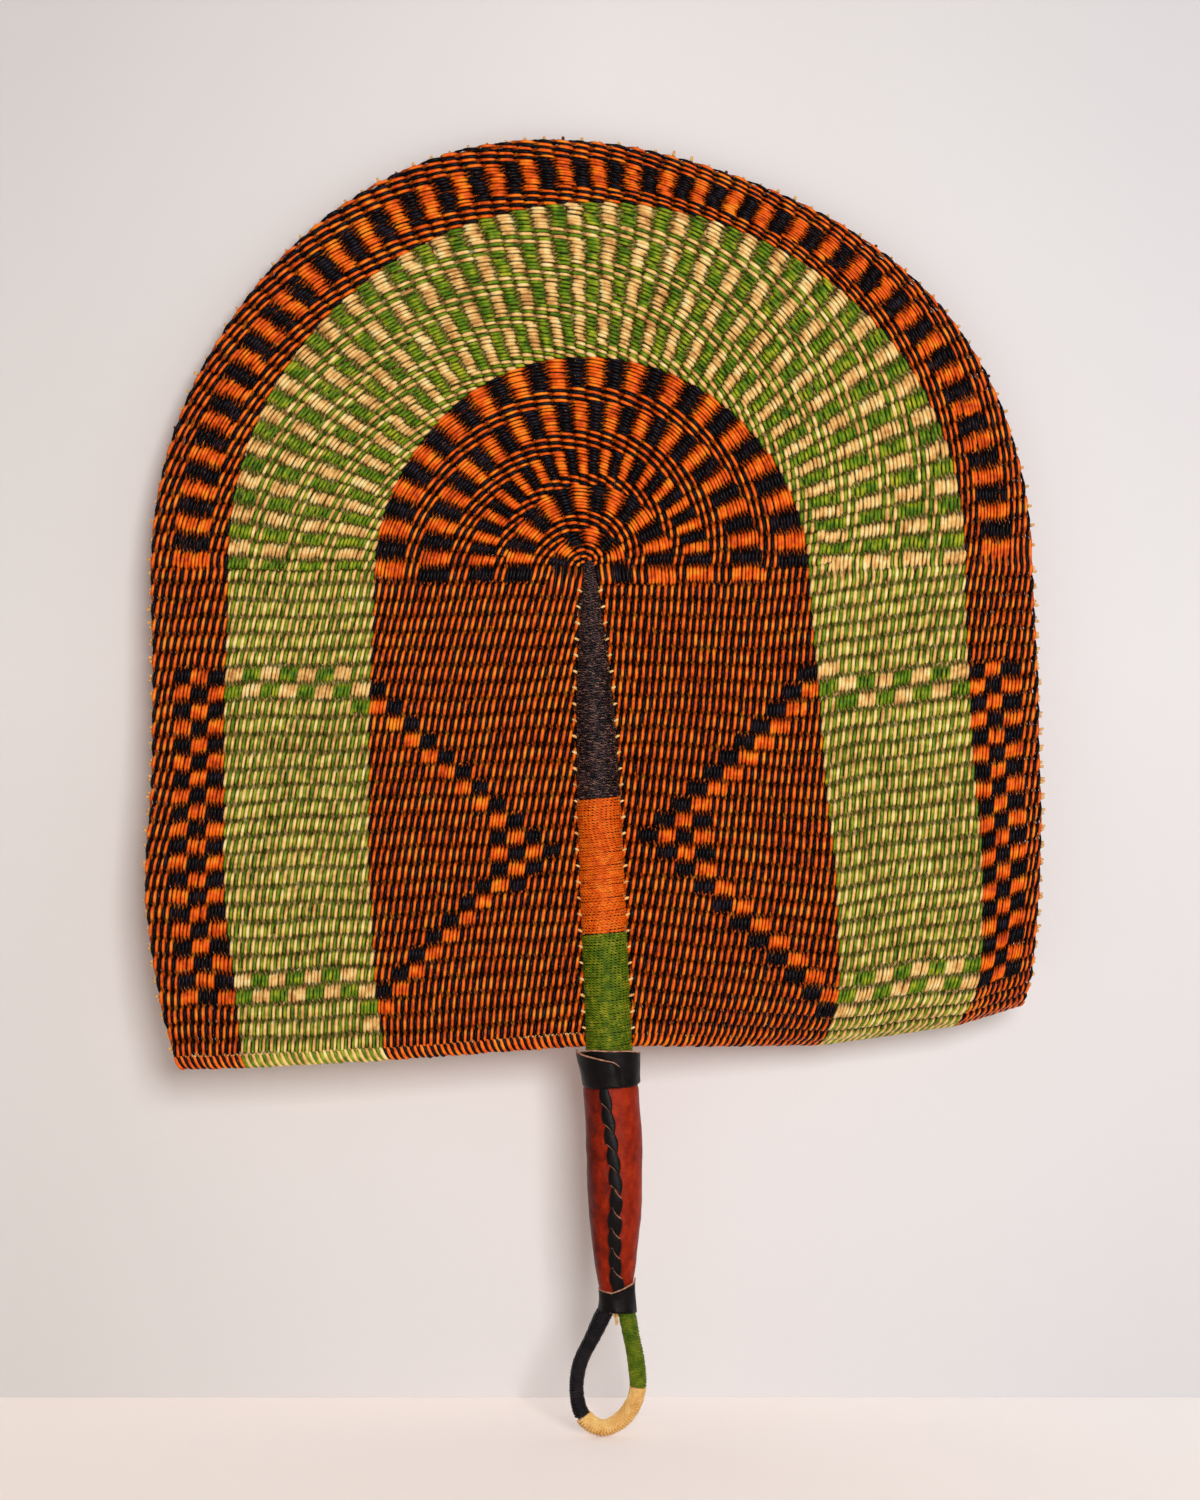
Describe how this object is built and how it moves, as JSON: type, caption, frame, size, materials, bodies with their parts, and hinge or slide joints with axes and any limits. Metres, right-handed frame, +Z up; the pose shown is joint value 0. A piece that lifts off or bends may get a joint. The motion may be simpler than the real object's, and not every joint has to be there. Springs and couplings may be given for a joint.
{
  "type": "woven hand fan",
  "caption": "Hand fan woven from dyed straw: an arched blade of banded weft on straw ribs, a wrapped spine, a laced leather grip and a hanging loop.",
  "frame": {"origin": "middle of the leather grip, on its axis", "axes": "+Z up along the handle to the crown, -Y out of the front, +X to the right as seen from the front"},
  "size_m": [0.3441, 0.0309, 0.4971],
  "materials": {
    "inner_weave": "twined dyed straw, orange and black",
    "middle_weave": "twined straw, green and natural",
    "outer_weave": "twined dyed straw, orange and black",
    "natural_straw": "dry natural straw",
    "orange_straw": "dyed straw, satin",
    "black_straw": "dyed straw, satin",
    "green_straw": "dyed straw, satin",
    "red_leather": "dyed goat leather, rubbed",
    "black_leather": "dyed goat leather, rubbed"
  },
  "bodies": {
    "fan": {"inner_band": "inner_weave", "middle_band": "middle_weave", "outer_band": "outer_weave", "left_ribs": "natural_straw", "right_ribs": "natural_straw", "crown_ribs": "natural_straw", "left_hem": "orange_straw", "right_hem": "orange_straw", "spine_wrap_black": "black_straw", "spine_wrap_orange": "orange_straw", "spine_wrap_green": "green_straw", "core_binding": "natural_straw", "grip_leather": "red_leather", "upper_collar": "black_leather", "lower_collar": "black_leather", "grip_lacing": "black_leather", "frayed_straws": "natural_straw"},
    "hanging_loop": {"loop_core": "natural_straw", "loop_wrap_black": "black_straw", "loop_wrap_natural": "natural_straw", "loop_wrap_green": "green_straw"}
  },
  "joints": [
    {"name": "loop_flex", "type": "hinge", "parent": "fan", "child": "hanging_loop", "pos_m": [0, 0, -0.0465], "axis": [1, 0, 0], "range_deg": [-25, 25], "stiffness_Nm_per_rad": 0.1}
  ]
}
